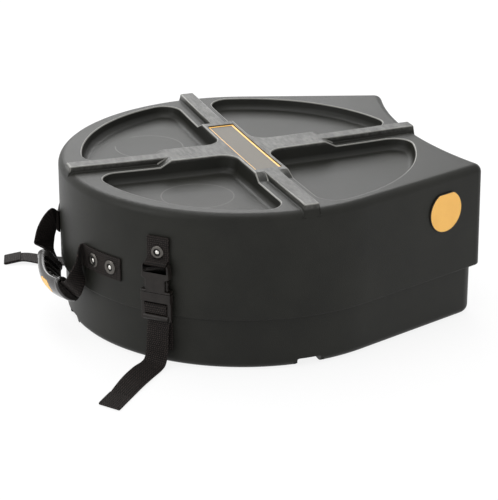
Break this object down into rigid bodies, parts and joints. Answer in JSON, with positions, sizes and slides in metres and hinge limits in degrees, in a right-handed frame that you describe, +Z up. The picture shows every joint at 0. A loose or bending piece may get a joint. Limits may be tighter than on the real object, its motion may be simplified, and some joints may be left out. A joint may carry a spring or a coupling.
{
  "type": "drum case",
  "caption": "Round moulded drum case with a lift-off lid, flat standing feet, ribbed top, webbing handle and side-release strap buckles.",
  "frame": {"origin": "centre of the whole footprint on the floor that the case lies on, 8.7 mm and 13 mm from the drum's axis", "axes": "+Z up along the drum's axis, +X from the handle towards the two feet, -Y the side with the round badge"},
  "size_m": [0.4704, 0.4382, 0.1803],
  "materials": {
    "shell": "grained black polyethylene",
    "foam": "closed-cell foam",
    "webbing": "ribbed polypropylene webbing",
    "buckle": "satin moulded nylon",
    "grip": "glossy moulded plastic",
    "nickel": "nickel plated",
    "label": "dark bronze plate with a gold border",
    "gold": "matt gold sheet"
  },
  "bodies": {
    "base": {"base_shell": "shell", "base_floor_pad": "foam", "base_wall_liner": "foam", "near_base_strap": "webbing", "near_base_strap_rivet": "nickel", "near_base_strap_washer": "nickel", "near_buckle_plug": "buckle", "far_base_strap": "webbing", "far_base_strap_rivet": "nickel", "far_base_strap_washer": "nickel", "far_buckle_plug": "buckle"},
    "lid": {"lid_shell": "shell", "lid_pad": "foam", "name_plate": "label", "side_badge": "gold", "near_lid_strap": "webbing", "near_lid_strap_rivet": "nickel", "near_lid_strap_washer": "nickel", "near_buckle_socket": "buckle", "near_handle_tab": "webbing", "near_handle_backing": "nickel", "near_handle_rivet_rear": "nickel", "near_handle_rivet_front": "nickel", "far_lid_strap": "webbing", "far_lid_strap_rivet": "nickel", "far_lid_strap_washer": "nickel", "far_buckle_socket": "buckle", "far_handle_tab": "webbing", "far_handle_backing": "nickel", "far_handle_rivet_rear": "nickel", "far_handle_rivet_front": "nickel"},
    "handle": {"handle_strap": "webbing", "handle_grip": "grip", "grip_inset": "gold"},
    "near_prong_left": {"near_prong_left": "buckle"},
    "near_prong_right": {"near_prong_right": "buckle"},
    "far_prong_left": {"far_prong_left": "buckle"},
    "far_prong_right": {"far_prong_right": "buckle"}
  },
  "joints": [
    {"name": "lid_lift", "type": "slide", "parent": "base", "child": "lid", "axis": [0, 0, 1], "range_m": [0, 0.2]},
    {"name": "handle_swing", "type": "hinge", "parent": "lid", "child": "handle", "pos_m": [-0.2, 0.013, 0.08535], "axis": [0, 1, 0], "range_deg": [-5, 90]},
    {"name": "near_press_left", "type": "hinge", "parent": "base", "child": "near_prong_left", "pos_m": [-0.14905, -0.12998, 0.0802], "axis": [0.7071, 0.7071, 0], "range_deg": [0, 14], "stiffness_Nm_per_rad": 0.5},
    {"name": "near_press_right", "type": "hinge", "parent": "base", "child": "near_prong_right", "pos_m": [-0.13428, -0.14475, 0.0802], "axis": [-0.7071, -0.7071, 0], "range_deg": [0, 14], "stiffness_Nm_per_rad": 0.5},
    {"name": "far_press_left", "type": "hinge", "parent": "base", "child": "far_prong_left", "pos_m": [-0.13428, 0.17075, 0.0802], "axis": [0.7071, -0.7071, 0], "range_deg": [0, 14], "stiffness_Nm_per_rad": 0.5},
    {"name": "far_press_right", "type": "hinge", "parent": "base", "child": "far_prong_right", "pos_m": [-0.14905, 0.15598, 0.0802], "axis": [-0.7071, 0.7071, 0], "range_deg": [0, 14], "stiffness_Nm_per_rad": 0.5}
  ],
  "couplings": [
    {"joint": "near_press_right", "follows": "near_press_left", "ratio": 1},
    {"joint": "far_press_right", "follows": "far_press_left", "ratio": 1}
  ]
}
